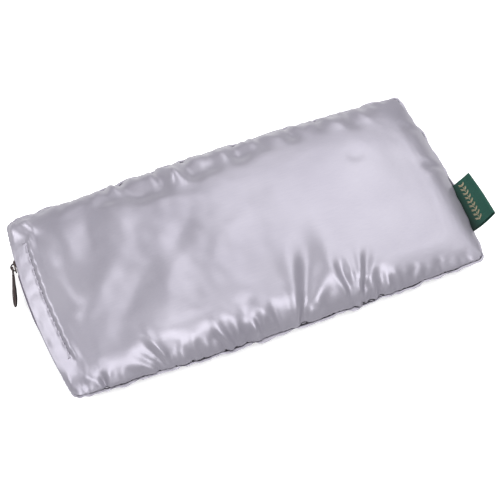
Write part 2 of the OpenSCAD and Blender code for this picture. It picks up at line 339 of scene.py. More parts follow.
def metal_material(name, dark, light):
    """Gunmetal plating, a little worn and brushed."""
    m = Nodes(name)
    cast = m.cloud((1.2, 1.2, 1.2), detail=5, rough=0.6)
    brush = m.cloud((0.08, 1.5, 0.5), detail=2)
    edge = m.add("ShaderNodeNewGeometry").outputs["Pointiness"]
    worn = m.level(edge, -6.0, 7.0)
    tone = m.sum(m.sum(cast, 0.6, "MULTIPLY"), m.sum(worn, 0.25, "MULTIPLY"))
    m.surface(
        Base_Color=m.ramp(tone, 0.25, 0.8, dark, light),
        Metallic=0.9,
        Roughness=m.level(cast, 0.24, 0.42),
    )
    m.bump(m.sum(m.sum(cast, 0.6, "MULTIPLY"), m.sum(brush, 0.4, "MULTIPLY")), 0.03, 0.4)
    return m.material


def plastic_material(name, dark, light):
    """Drawn nylon of the coil: glossy with faint drawing lines."""
    m = Nodes(name)
    fleck = m.cloud((0.7, 0.3, 0.3), detail=3)
    m.surface(
        Base_Color=m.ramp(fleck, 0.3, 0.7, dark, light),
        Roughness=m.level(fleck, 0.28, 0.42),
        Coat_Weight=0.2,
    )
    m.bump(fleck, 0.02, 0.4)
    return m.material


def seed_material(name, dark, light):
    """Flax seed: brown, polished, each seed a little different."""
    m = Nodes(name)
    each = m.cloud((6, 6, 6), detail=1)
    skin = m.cloud((0.5, 0.5, 0.5), detail=3)
    tone = m.sum(m.sum(each, 0.7, "MULTIPLY"), m.sum(skin, 0.3, "MULTIPLY"))
    m.surface(Base_Color=m.ramp(tone, 0.35, 0.65, dark, light), Roughness=m.level(skin, 0.25, 0.4))
    m.bump(skin, 0.03, 0.4)
    return m.material


# ---------- shape of the cover ----------


def end_x(y):
    """Half-length of the cover: both short ends are arcs."""
    return np.sqrt(END_R**2 - np.square(y)) - END_R + END_X


def side_y(u):
    """Half-width of the cover: the long sides bow out a little."""
    return COVER_W / 2 + SIDE_BOW * (1 - np.square(u))


def plan(u, v):
    """Place on the cover of u along and v across, each from -1 to 1."""
    y = v * side_y(u)
    return u * end_x(y), y


def swell(u, v, power):
    """Share of the cover's full height: 0 at the seams, 1 in the middle."""
    a = np.clip(1 - np.abs(u) ** power, 0, 1)
    b = np.clip(1 - np.abs(v) ** power, 0, 1)
    return np.sqrt(a) * np.sqrt(b)


def zip_depth(x, y):
    """How far a point lies in from the arc of the zip."""
    return END_R - np.hypot(x - ZIP_CX, y)


def zip_point(depth, y, z):
    """Point at the given depth behind the zip's arc, level with y on the arc."""
    angle = np.arcsin(np.asarray(y, float) / END_R)
    r = END_R - np.asarray(depth, float)
    return np.stack(np.broadcast_arrays(ZIP_CX - r * np.cos(angle), r * np.sin(angle), z), -1)


def hemmed(y):
    """1 along the slit, 0 past its ends, where the panels are sewn to each other."""
    return 1 - smooth(ZIP_HALF - 3, ZIP_HALF + 5, np.abs(y))


def strip_section(up, over, y):
    """Depth and height above the seam of a point in the hem strip's own section.

    up runs from the fold into the strip, over points away from the zip."""
    share = hemmed(y)
    slope = STRIP_SLOPE * share
    radius = fold_radius(y)
    depth = radius + up * np.cos(slope) - over * np.sin(slope)
    height = SLIT_HALF * share + radius + up * np.sin(slope) + over * np.cos(slope)
    return depth, height


def fold_radius(y):
    """Radius of the fold at the zip, which tightens to that of the seam past the slit."""
    share = 1 - smooth(ZIP_HALF - 2, ZIP_HALF + 12, np.abs(y))
    return FOLD_R * share + RIM_R * (1 - share)


def strip_height(depth, y):
    """Height above the seam of the outside of the hem strip, whose slope carries on into the corners."""
    lean = 1 - smooth(50, 60, np.abs(y))
    slope = STRIP_SLOPE * lean
    radius = fold_radius(y)
    gap = SLIT_HALF * hemmed(y)
    up = np.maximum((depth - radius + radius * np.sin(slope)) / np.cos(slope), 0)
    straight = gap + radius + up * np.sin(slope) + radius * np.cos(slope)
    start = radius * (1 - np.sin(slope))
    round_part = gap + radius + np.sqrt(np.clip(radius**2 - (radius - depth) ** 2, 0, None))
    return np.where(depth < start, round_part, straight)


def even_ends(total, first, middle, growth):
    """Shares from -1 to 1 with small steps at both ends."""
    places = [0.0]
    while places[-1] < total:
        at = places[-1]
        places.append(at + min(middle, first + growth * at, first + growth * max(total - at, 0)))
    places = np.array(places)
    return 2 * places / places[-1] - 1


def from_seam(half, middle):
    """Distances in from a seam to half, close enough for even steps up the steep side of the cover."""
    levels = (0, 0.25, 0.5, 0.75, 1.05, 1.4, 1.8, 2.3, 2.9, 3.6, 4.5, 5.6)
    places = [(level / TOP_RISE) ** 2 * half / TOP_POWER for level in levels]
    step = places[-1] - places[-2]
    while places[-1] + step < half:
        step = min(step * 1.15, middle)
        places.append(places[-1] + step)
    places[-1] = half
    return np.array(places)


def from_zip(half, middle):
    """Distances in from the zip to half: fine round the fold, even over the hem strip."""
    first = 0.12
    places = [0.0]
    step = first
    while places[-1] + step < half:
        at = places[-1]
        step = min(first + 0.25 * at, 0.6) if at < 14 else min(step * 1.08, middle)
        places.append(at + step)
    places[-1] = half
    return np.array(places)


# Soft swellings and hollows of the filling: middle x, y, the two radii, turn in degrees, height
LUMPS = (
    (-80, -9, 21, 6.0, 44, 2.0),
    (-67, -21, 20, 5.5, 44, -1.7),
    (-48, -20, 18, 8, 60, 1.6),
    (-97, -4, 16, 4.5, 96, -0.7),
    (-88, 25, 14, 6, 84, 1.7),
    (-74, 29, 14, 5.5, 78, -1.5),
    (-60, 24, 15, 7, 60, 1.1),
    (-92, -42, 6, 7, 0, 0.7),
    (-77, -36, 8, 5, 30, -0.9),
    (-66, -42, 7, 7, 0, 0.7),
    (-54, 45, 8, 5, 0, -1.5),
    (-37, 40, 10, 8, -12, -3.0),
    (-30, 28, 13, 5, -10, 1.0),
    (-21, 43, 4.5, 6, -12, 1.1),
    (-6, 43, 8, 7, 0, -2.8),
    (6, 50, 4, 5, 0, 0.8),
    (19, 46, 10, 6, 0, -2.4),
    (48, 47, 9, 5, 0, -1.2),
    (-33, 4, 13, 6, 50, -1.3),
    (-14, -8, 16, 8, 44, 0.9),
    (8, 14, 14, 9, 30, -0.5),
    (20, -36, 17, 5, 70, -1.7),
    (33, -36, 14, 5, 78, 0.9),
    (52, -8, 16, 12, 0, 0.4),
    (72, 20, 5.5, 4, 20, -0.8),
    (92, 8, 18, 8, 84, -0.4),
)

# Puffed corners at the zip end, in the same form
EARS = (
    (-109.0, 48.5, 5.0, 5.0, 0, 1.5),
    (-103.5, 45.5, 1.8, 6.0, 15, -1.1),
    (-111.0, -49.5, 4.0, 5.0, 0, 1.3),
)

# Folds of the top panel: start, end at the seam, half-width there, depth, share of it in each flank
TOP_FOLDS = (
    ((-95, -50.5), (-93.8, -57.5), 0.8, 1.1, 0.5, 0.5),
    ((-72.5, -43.5), (-62.0, -57.5), 1.0, 1.5, 0.2, 0.9),
    ((-76, -47.5), (-65.2, -57.5), 0.9, 1.2, 0.5, 0.3),
    ((-55.5, -46), (-58.8, -57.5), 2.2, 1.0, 0.4, 0.4),
    ((-51, -52), (-48.5, -58), 1.1, 0.8, 0.4, 0.3),
    ((-44.5, -51), (-43.4, -58), 1.2, 0.7, 0.3, 0.4),
    ((-39, -50), (-31.2, -58), 1.3, 1.4, 0.3, 0.7),
    ((-28.4, -48), (-26.2, -58), 1.3, 1.1, 0.6, 0.4),
    ((-16.4, -42), (-19.6, -58), 2.0, 1.2, 0.4, 0.7),
    ((-12.6, -49), (-11.6, -58), 0.9, 1.6, 0.7, 0.2),
    ((-3.0, -47), (-1.2, -58), 1.0, 1.0, 0.4, 0.3),
    ((27, -28), (10.4, -58), 2.4, 1.7, 0.8, 0.4),
    ((29.5, -43), (25.6, -58), 1.8, 0.6, 0.3, 0.3),
    ((36.8, -38), (37.8, -58), 1.0, 1.9, 0.5, 0.9),
    ((39.6, -48), (40.4, -58), 0.7, 1.3, 0.8, 0.4),
    ((53.4, -38), (43.0, -58), 0.9, 1.7, 0.9, 0.2),
    ((47.6, -50), (46.8, -58), 1.3, 1.0, 0.2, 0.5),
    ((55.8, -46), (53.4, -58), 1.7, 1.4, 0.6, 0.4),
    ((60.8, -52), (62.2, -58), 0.9, 0.9, 0.3, 0.3),
    ((72.0, -51), (73.4, -58), 0.8, 0.8, 0.3, 0.3),
    ((87.0, -51), (88.6, -57), 0.8, 0.7, 0.3, 0.3),
    ((-58.5, 38), (-57.0, 57), 2.0, 1.5, 0.4, 0.6),
    ((-46.0, 33), (-48.0, 57), 3.0, 1.6, 0.5, 0.3),
    ((-26.0, 33), (-29.0, 57), 1.8, 1.8, 0.5, 0.9),
    ((-14.5, 31), (-12.0, 58), 2.2, 1.6, 0.6, 0.5),
    ((2.0, 40), (1.0, 58), 1.6, 1.3, 0.4, 0.3),
    ((14.0, 38), (17.0, 58), 2.2, 1.4, 0.4, 0.4),
    ((31.0, 43), (29.0, 58), 1.6, 1.1, 0.4, 0.4),
    ((46.0, 42), (47.0, 57), 1.5, 1.3, 0.3, 0.4),
    ((63.0, 43), (64.5, 57), 1.6, 1.2, 0.4, 0.4),
    ((80.0, 40), (82.5, 57), 1.8, 1.5, 0.4, 0.4),
    ((104, 4), (115, 2.6), 1.2, 0.9, 0.3, 0.5),
    ((106, 30), (113, 31), 1.4, 0.6, 0.3, 0.3),
    ((-100.6, 35), (-104.8, 51), 1.4, 1.3, 0.2, 0.4),
)

BOTTOM_FOLDS = (
    ((-80, -44), (-78, -57), 1.5, 0.9, 0.3, 0.4),
    ((-52, -46), (-55, -58), 1.3, 0.8, 0.4, 0.3),
    ((-20, -45), (-17, -58), 1.5, 0.9, 0.3, 0.3),
    ((8, -46), (5, -58), 1.2, 0.8, 0.3, 0.3),
    ((31, -44), (34, -58), 1.6, 1.0, 0.4, 0.3),
    ((62, -46), (60, -58), 1.3, 0.8, 0.3, 0.4),
    ((90, -44), (92, -57), 1.4, 0.8, 0.3, 0.3),
    ((-84, 44), (-82, 57), 1.4, 0.9, 0.3, 0.3),
    ((-46, 45), (-49, 58), 1.6, 0.9, 0.4, 0.3),
    ((-12, 46), (-10, 58), 1.3, 0.8, 0.3, 0.3),
    ((22, 44), (24, 58), 1.5, 0.9, 0.3, 0.4),
    ((58, 46), (55, 58), 1.3, 0.8, 0.3, 0.3),
    ((88, 43), (91, 57), 1.5, 0.9, 0.4, 0.3),
    ((102, -20), (115, -22), 1.6, 0.9, 0.3, 0.3),
    ((102, 16), (115, 17), 1.4, 0.8, 0.3, 0.3),
)

# Half-length of the stretch of each long seam that is puckered
PUCKERED = 104


def scattered_folds(count, side, spread, depth):
    """Small seeded puckers along a long seam, where the thread gathers the satin."""
    made = []
    for k in range(count):
        x = PUCKERED * (2 * (k + rng.uniform(0.15, 0.85)) / count - 1)
        length = rng.uniform(3, spread)
        lean = rng.uniform(-0.25, 0.25)
        start = (x - lean * length, side * (57 - length))
        made.append((start, (x, side * 58), rng.uniform(0.5, 1.0), rng.uniform(0.3, 1) * depth, 0.4, 0.4))
    return made


def fold_height(x, y, folds):
    """Height of all folds at x, y: grooves that deepen towards the seam, with raised flanks."""
    height = np.zeros_like(x)
    for start, end, width, depth, left, right in folds:
        line = np.subtract(end, start)
        length = math.hypot(*line)
        line = line / length
        along = ((x - start[0]) * line[0] + (y - start[1]) * line[1]) / length
        across = (x - start[0]) * -line[1] + (y - start[1]) * line[0]
        if end[1] > 0:
            across = -across
        half = width * (0.75 + 2.0 * np.clip(1 - along, 0, 1))
        strength = smooth(-0.3, 0.45, along) * (1 - smooth(1.05, 1.5, along))
        groove = -bell(across / half)
        flanks = left * bell((across + 1.9 * half) / half) + right * bell((across - 1.9 * half) / half)
        height += depth * strength * (groove + flanks)
    return height


def lump_height(x, y, lumps):
    """Height of all lumps at x, y."""
    height = np.zeros_like(x)
    for cx, cy, rx, ry, turn, rise in lumps:
        c, s = math.cos(math.radians(turn)), math.sin(math.radians(turn))
        a = (x - cx) * c + (y - cy) * s
        b = (y - cy) * c - (x - cx) * s
        height += rise * bell(np.hypot(a / rx, b / ry))
    return height


def normals(points, outward):
    """Unit normals of a grid of points, on the side that outward points to."""
    n = np.cross(np.gradient(points, axis=0), np.gradient(points, axis=1))
    n /= np.maximum(np.linalg.norm(n, axis=-1), 1e-9)[..., None]
    return n * np.where((n * outward).sum(-1) < 0, -1, 1)[..., None]


LONG = np.concatenate([from_zip(END_X, 1.6) / END_X - 1, (1 - from_seam(END_X, 1.6) / END_X)[-2::-1]])
NEAR_HALF = from_seam(side_y(0), 2.2) / side_y(0) - 1
CROSS = np.concatenate([NEAR_HALF, -NEAR_HALF[-2::-1]])

# Grid that both cover panels share: shares, places, and distances in from the zip, the sides and the ends
U, V = np.meshgrid(LONG, CROSS, indexing="ij")
X, Y = plan(U, V)
FLAT = np.stack([X, Y, np.zeros_like(X)], -1)
DEPTH = zip_depth(X, Y)
SIDE_GAP = side_y(U) - np.abs(Y)
END_GAP = end_x(Y) - X
INNER = np.minimum(SIDE_GAP, END_GAP)

FRONT_PUCKERS = tuple(scattered_folds(46, -1, 9, 0.55))
BACK_PUCKERS = tuple(scattered_folds(40, 1, 9, 0.7))
UNDER_PUCKERS = tuple(scattered_folds(44, -1, 7, 0.45) + scattered_folds(44, 1, 7, 0.45))


def strip_share(top):
    """1 on a panel's hem strip, 0 where the panel swells; on top the strip runs on to the corners."""
    if top:
        return (1 - smooth(49, 57, np.abs(Y))) * (1 - smooth(8.6, 13.5, DEPTH))
    return hemmed(Y) * (1 - smooth(8.4, 11.0, DEPTH))


def seam_sway(points):
    """How the seam wanders: in and out across the sides, most at the back, and up and down."""
    lateral = 0.55 * ripple(points, 9, 3.1) + 0.3 * ripple(points, 3.6, 5.7)
    vertical = 0.5 * ripple(points, 14, 8.3) + 0.25 * ripple(points, 5, 1.9)
    return lateral * (1 + 0.9 * smooth(20, 50, points[..., 1])), vertical


def round_corners(points):
    """Bends the square corners of a panel to arcs, the widest at the zip end."""
    radius = np.where(X < 0, np.where(Y > 0, 4.2, 3.6), 2.5)
    a = np.clip(radius - np.where(X < 0, DEPTH, END_GAP), 0, None)
    b = np.clip(radius - SIDE_GAP, 0, None)
    share = np.maximum(a, b) / np.maximum(np.hypot(a, b), 1e-6)
    corner = (a > 0) & (b > 0)
    points[..., 0] -= np.where(corner, np.sign(X) * a * (1 - share), 0)
    points[..., 1] -= np.where(corner, np.sign(Y) * b * (1 - share), 0)


def push_out(points, amount, strip):
    """Moves the points near the long sides and the label end outwards."""
    points[..., 1] += np.sign(Y) * amount * smooth(14, 4, SIDE_GAP) * (1 - strip)
    points[..., 0] += amount * smooth(14, 4, END_GAP)


def above_floor(points):
    points[..., 2] = np.maximum(points[..., 2], FLOOR_GAP)


def cover_sheet(top):
    """One cover panel before the cloth settles: swell, hem strip, corners and wandering seams."""
    rise, power = (TOP_RISE, TOP_POWER) if top else (BOTTOM_DROP, BOTTOM_POWER)
    strip = strip_share(top)
    side_fall = np.sqrt(np.clip(1 - np.abs(V) ** 14, 0, 1))
    on_strip = RIM_R + (strip_height(DEPTH, Y) - RIM_R) * side_fall
    height = (RIM_R + rise * swell(U, V, power)) * (1 - strip) + on_strip * strip
    points = np.stack([X, Y, SEAM_Z + height if top else SEAM_Z - height], -1)
    round_corners(points)

    share = hemmed(Y)
    from_rim = np.minimum(INNER, np.where(share > 0, 99, DEPTH))
    near_seam = np.exp(-from_rim / 5) * (1 - share * (1 - smooth(14, 30, DEPTH)))
    lateral, vertical = seam_sway(FLAT)
    push_out(points, lateral * near_seam, strip)
    points[..., 2] += vertical * near_seam * 0.5
    if not top:
        above_floor(points)
    return points


def strip_puckers(depth, y):
    """The stitched line pulls the strip into small dimples, with a puffed ridge on the pillow side."""
    past_row = depth - strip_section(STITCH_ROW, FOLD_R, y)[0]
    groove = -0.35 * bell(past_row / 0.8)
    ridge = 0.5 * bell((past_row - 2.1) / 1.2)
    tuck = 0.5 * np.sin(2 * math.pi * (y + 0.3 * past_row) / STITCH_PITCH)
    uneven = 1 + 0.5 * ripple(np.stack([depth, y, 0 * y], -1), 5, 4.1)
    lean = 0.85 * tuck * bell((past_row - 0.9) / 1.4) * uneven
    wave = ripple(np.stack([0.4 * depth, y, 0 * y], -1), 6, 7.7)
    slack = 0.55 * wave * smooth(0.6, 3, depth) * (1 - smooth(7, 9, depth))
    return hemmed(y) * (groove + ridge + lean + slack)


def crease(sheet, top):
    """Adds the uneven filling, the folds and the rolled seams to a panel."""
    strip = strip_share(top)
    calm = smooth(0.5, 5, np.where(np.abs(Y) > ZIP_HALF, DEPTH, 10)) * (1 - strip)
    if top:
        rise = lump_height(X, Y, LUMPS) * smooth(0, 14, INNER) * smooth(8, 14, DEPTH)
        rise += lump_height(X, Y, EARS) * smooth(0, 3, DEPTH) * smooth(0, 3, SIDE_GAP)
        uneven = 0.45 * ripple(FLAT, 17, 2.2) + 0.28 * ripple(FLAT, 7, 4.4)
        loose = 1 - 0.65 * smooth(-30, 30, X)
        rise += uneven * loose * smooth(3, 16, INNER) * smooth(9, 20, DEPTH)
        rise += fold_height(X, Y, TOP_FOLDS + FRONT_PUCKERS + BACK_PUCKERS) * calm
        rise += strip_puckers(DEPTH, Y)
    else:
        rise = fold_height(X, Y, BOTTOM_FOLDS + UNDER_PUCKERS) * calm
        rise += 0.2 * ripple(FLAT, 12, 6.1) * smooth(1, 8, INNER) * (1 - strip)
    points = sheet + normals(sheet, np.array([0, 0, 1.0 if top else -1.0])) * rise[..., None]

    # Both panels roll out past the stitches, the lower one further, and leave a groove between them
    level = np.abs(sheet[..., 2] - SEAM_Z)
    reach, fall = (0.8, 2.2) if top else (2.1, 3.2)
    scallop = 1 + 0.55 * ripple(FLAT, 7, 9.4) + 0.35 * ripple(FLAT, 3, 6.6)
    push_out(points, reach * bell(level / fall) * smooth(0, 0.55, level) * scallop, strip)

    # The back side draws in a little near the zip
    points[..., 1] -= 1.3 * smooth(25, 55, Y) * bell((X + 62) / 42)
    if not top:
        above_floor(points)
    return points


def cloth_object(points, rows, cols):
    """Both panels as one loose mesh, with groups for what is held and what is slack."""
    faces = [tuple(reversed(q)) for q in grid_faces(rows, cols)]
    faces += grid_faces(rows, cols, base=rows * cols)
    mesh = bpy.data.meshes.new("settling")
    mesh.from_pydata(points.tolist(), [], faces)
    mesh.update()
    cloth = bpy.data.objects.new("settling", mesh)
    bpy.context.scene.collection.objects.link(cloth)

    strip = hemmed(Y) * (1 - smooth(9, 16, DEPTH))
    held = np.maximum(smooth(8, 26, INNER) * 0.9, strip)
    rim = (INNER < 0.02) | (DEPTH < 0.02)
    held = np.where(rim, 1.0, np.maximum(held, 0.06))
    slack = smooth(0.5, 3, INNER) * (1 - smooth(8, 20, INNER)) * (1 - strip)
    for name, shares in (("held", held), ("slack", slack)):
        group = cloth.vertex_groups.new(name=name)
        for k, share in enumerate(np.tile(shares.ravel(), 2)):
            group.add([k], float(share), "REPLACE")
    return cloth


def settle(sheets, steps):
    """Cloth simulation of the panels: a little air pressure, slack satin along the seams."""
    scale = 10 * MM
    limit = 3.5
    rows, cols = sheets[0].shape[:2]
    points = np.concatenate([s.reshape(-1, 3) for s in sheets]) * scale
    cloth = cloth_object(points, rows, cols)
    modifier = cloth.modifiers.new("Cloth", "CLOTH")
    settings = modifier.settings
    settings.quality = 6
    settings.mass = 0.02
    settings.tension_stiffness = 40
    settings.compression_stiffness = 40
    settings.shear_stiffness = 12
    settings.bending_stiffness = 0.25
    settings.use_pressure = True
    settings.uniform_pressure_force = 2.5
    settings.vertex_group_mass = "held"
    settings.pin_stiffness = 1.0
    settings.vertex_group_shrink = "slack"
    settings.shrink_min = 0.0
    settings.shrink_max = -0.12
    settings.effector_weights.gravity = 0
    modifier.collision_settings.use_collision = False
    modifier.collision_settings.use_self_collision = False
    modifier.point_cache.frame_start = 1
    modifier.point_cache.frame_end = steps
    scene = bpy.context.scene
    scene.frame_start = 1
    scene.frame_end = steps
    for frame_number in range(1, steps + 1):
        scene.frame_set(frame_number)
    settled = cloth.evaluated_get(bpy.context.evaluated_depsgraph_get())
    found = np.zeros(len(points) * 3, np.float32)
    settled.data.vertices.foreach_get("co", found)
    moved = (found.reshape(-1, 3).astype(float) - points) / scale
    mesh = cloth.data
    bpy.data.objects.remove(cloth)
    bpy.data.meshes.remove(mesh)
    scene.frame_set(1)
    both = points / scale + np.clip(moved, -limit, limit)
    return both.reshape(2, rows, cols, 3)


def turned_edge(sheet, top):
    """Adds the layer turned in at the zip end: round the fold, then back under the strip."""
    y = sheet[0, :, 1]
    radius = fold_radius(y)
    rim = (sheet[0] - zip_point(0, y, 0)) * (1, 1, 0)
    sign = 1 if top else -1
    lines = [strip_section(up, -radius, y) for up in (TURN_IN, 6.4, 4.3, 2.2, 0.8, 0.0)]
    for turn in (math.radians(82), math.radians(41)):
        height = SLIT_HALF * hemmed(y) + radius * (1 - math.sin(turn))
        lines.append((radius * (1 - math.cos(turn)), height))
    rows = [rim + zip_point(depth, y, SEAM_Z + sign * height) for depth, height in lines]
    return np.concatenate([np.array(rows), sheet], 0)


def part_with_lip(made):
    """Bakes the piece's placement into its mesh."""
    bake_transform(made)


def strip_point(up, over, y, top):
    """Point in the hem strip's section, on the upper or the lower side of the slit."""
    depth, height = strip_section(up, over, y)
    return zip_point(depth, y, SEAM_Z + height if top else SEAM_Z - height)


# ---------- the pieces ----------


def make_cover(materials):
    """The two satin panels; returns their outer sheets."""
    sheets = [cover_sheet(True), cover_sheet(False)]
    sheets = settle(sheets, 24)
    sheets = [crease(sheet, top) for sheet, top in zip(sheets, (True, False))]
    for sheet, top in zip(sheets, (True, False)):
        full = turned_edge(sheet, top)
        faces = grid_faces(*full.shape[:2])
        if top:
            faces = [tuple(reversed(f)) for f in faces]
        name = "cover_top" if top else "cover_bottom"
        panel = mesh_object(name, full.reshape(-1, 3), faces, materials["satin"])
        part_with_lip(panel)
        smoother = panel.modifiers.new("Subdivision", "SUBSURF")
        smoother.levels = 1
        smoother.render_levels = 1
        cloth = panel.modifiers.new("Thickness", "SOLIDIFY")
        cloth.thickness = CLOTH_T * MM
        cloth.offset = -1
        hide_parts(name + "_panel", "upper_zip_hem" if top else "lower_zip_hem")
    return sheets


def walk(path):
    """Distance along a path to each of its points."""
    steps = np.linalg.norm(np.diff(path, axis=0), axis=1)
    return np.concatenate([[0], np.cumsum(steps)])


def point_along(path, walked, distance):
    return np.array([np.interp(distance, walked, path[:, c]) for c in range(3)])


def make_seam_threads(sheets, materials):
    """Stitches that lie in the groove between the two panels."""
    groove = (sheets[0] + sheets[1]) / 2
    zip_rim = groove[0]
    short_ends = [zip_rim[zip_rim[:, 1] < -ZIP_HALF - 1], zip_rim[zip_rim[:, 1] > ZIP_HALF + 1]]
    rows = (
        ("front_seam_stitches", "front_seam_thread", [groove[:, 0]]),
        ("back_seam_stitches", "back_seam_thread", [groove[:, -1]]),
        ("label_end_stitches", "label_end_seam_thread", [groove[-1]]),
        ("zip_end_stitches", "zip_end_seam_thread", short_ends),
    )
    for name, node, paths in rows:
        parts = []
        for path in paths:
            walked = walk(path)
            for k in range(int(walked[-1] // STITCH_PITCH)):
                a = point_along(path, walked, (k + 0.12) * STITCH_PITCH)
                b = point_along(path, walked, (k + 0.88) * STITCH_PITCH)
                parts.append(stitch(a, b, 0.2))
        made = mesh_object(name, *merge(parts), materials["thread"])
        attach(made, "cover")
        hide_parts(node)


def make_topstitch(sheet, top, materials):
    """Running stitch near the inner edge of the hem, with one stitch towards the zip at each end."""
    skin = BVHTree.FromPolygons(sheet.reshape(-1, 3).tolist(), grid_faces(*sheet.shape[:2]))
    way = -1 if top else 1
    lift = np.array([-0.12, 0, 0.2 if top else -0.1])

    def on_panel(up, y):
        depth = strip_section(up, fold_radius(y), y)[0]
        far_off = zip_point(depth, y, SEAM_Z - way * 60)
        hit = skin.ray_cast(Vector(far_off), Vector((0, 0, way)))[0]
        return np.array(hit) + lift

    parts = []
    for y in np.arange(-ZIP_HALF + 2, ZIP_HALF - 3, STITCH_PITCH):
        ends = on_panel(STITCH_ROW, y + 0.25), on_panel(STITCH_ROW, y + 2.5)
        parts.append(stitch(*ends, 0.3, 0.45, (0, 0, way)))
    for y in (-ZIP_HALF + 1, ZIP_HALF - 1):
        ends = on_panel(STITCH_ROW - 2.4, y), on_panel(STITCH_ROW - 0.3, y)
        parts.append(stitch(*ends, 0.22, 0.35, (0, 0, way)))
    name = "upper_topstitch" if top else "lower_topstitch"
    made = mesh_object(name + "_thread", *merge(parts), materials["thread"])
    part_with_lip(made)
    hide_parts(name)


def closed_sleeve(grid):
    """Points and faces of a row of closed sections, with flat ends."""
    rows, count = grid.shape[:2]
    faces = grid_faces(rows, count, wrap=True)
    faces += [tuple(range(count)), tuple(range((rows - 1) * count, rows * count))]
    return grid.reshape(-1, 3), faces


def slit_shade_tape():
    """Edge of the lower tape, pushed out past the lips below the slider: a dark strip that stands in for the
    shade in the slit.
    """
    rows = []
    for y in np.linspace(-26, 25, 52):
        out = float(smooth(-26, -4, y) * (1 - smooth(21, 25, y)))
        # Along the middle of the slit the tip reaches out past the lips, as painted shade in the slit.
        tip = 0.7 - 1.25 * out
        line = ((2.76, -1.8), (1.5, -0.8), (0.7, -0.32), (tip, -0.22))
        line += ((tip, 0.02), (0.75, -0.06), (1.6, -0.5), (2.9, -1.55))
        rows.append([zip_point(depth, y, SEAM_Z + height) for depth, height in line])
    return closed_sleeve(np.array(rows))


def make_tape(top, materials):
    """Woven tape that lies against the turned-in layer and carries the coil."""
    y = np.linspace(-ZIP_HALF + 1, ZIP_HALF - 1, 64)
    outline = [(up, -FOLD_R - 0.1) for up in np.linspace(2.4, 9, 9)]
    outline += [(up, -FOLD_R - 0.55) for up in np.linspace(9, 2.4, 9)]
    grid = np.array([[strip_point(up, over, t, top) for up, over in outline] for t in y])
    parts = [closed_sleeve(grid)]
    # The lower tape gets a dark edge out of the slit, standing in for the shade there.
    if not top:
        parts.append(slit_shade_tape())
    side = "upper" if top else "lower"
    made = mesh_object(side + "_tape", *merge(parts), materials["tape"], False)
    part_with_lip(made)
    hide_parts(side + "_zip_tape")


def make_coil(top, materials):
    """Nylon coil: a wound helix, the two sides half a pitch apart, parted in front of the slider."""
    turns = int(2 * COIL_END / COIL_PITCH) - 1
    t = np.linspace(0, turns, turns * 14 + 1)
    stagger = 0.5 if top else 0.0
    y = -COIL_END + COIL_PITCH * (t + 0.25 + stagger)
    parted = smooth(0, 0.4, (y - SLIDER_Y + SLIDER_L / 2) / SLIDER_L)
    rise = 0.5 + 0.6 * parted
    turn = 2 * math.pi * t
    depth = COIL_DEPTH + 1.25 * COIL_R * np.cos(turn)
    height = rise + COIL_R * np.sin(turn)
    path = zip_point(depth, y, SEAM_Z + (height if top else -height))
    side = "upper" if top else "lower"
    made = mesh_object(side + "_coil", *tube(path, COIL_WIRE_R, 8), materials["coil"])
    part_with_lip(made)
    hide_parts(side + "_zip_coil")


def make_top_stop(top, materials):
    """Small crimped clip round the end of the coil."""
    side = "upper" if top else "lower"
    sign = 1 if top else -1
    turn = np.linspace(-2.6, 2.6, 15)
    section = [(COIL_DEPTH + 0.75 * math.cos(a), 1.05 + 0.5 * math.sin(a)) for a in turn]
    section += [(COIL_DEPTH + 0.5 * math.cos(a), 1.05 + 0.28 * math.sin(a)) for a in turn[::-1]]
    lanes = [STOP_Y + t for t in (-0.5, -0.4, 0, 0.4, 0.5)]
    rows = np.array([[zip_point(d, y, SEAM_Z + sign * h) for d, h in section] for y in lanes])
    count = len(section)
    faces = grid_faces(len(lanes), count, wrap=True)
    for base in (0, (len(lanes) - 1) * count):
        last = base + count - 1
        faces += [(base + k, base + k + 1, last - 1 - k, last - k) for k in range(count // 2 - 1)]
    made = mesh_object(side + "_stop", rows.reshape(-1, 3), faces, materials["metal"])
    part_with_lip(made)
    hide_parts(side + "_top_stop")


def label_point(share, across, offset):
    """Point on the label tab: share 0 at the seam to 1 at the fold, across from -1 (near) to 1 (far)."""
    y = LABEL_Y + LABEL_HALF * across
    along = (14.4 - 2.2 * across) * share
    angle = math.radians(38.6 - 3.4 * across - 5 * (1 - 2 * share))
    root = float(end_x(y)) + 0.1
    reach = along * math.cos(angle) - offset * math.sin(angle)
    rise = along * math.sin(angle) + offset * math.cos(angle)
    return np.array([root + reach, y, SEAM_Z + rise])


def ply(across):
    """The two plies of the label stand further apart at its near edge."""
    return 1.25 - 0.55 * across


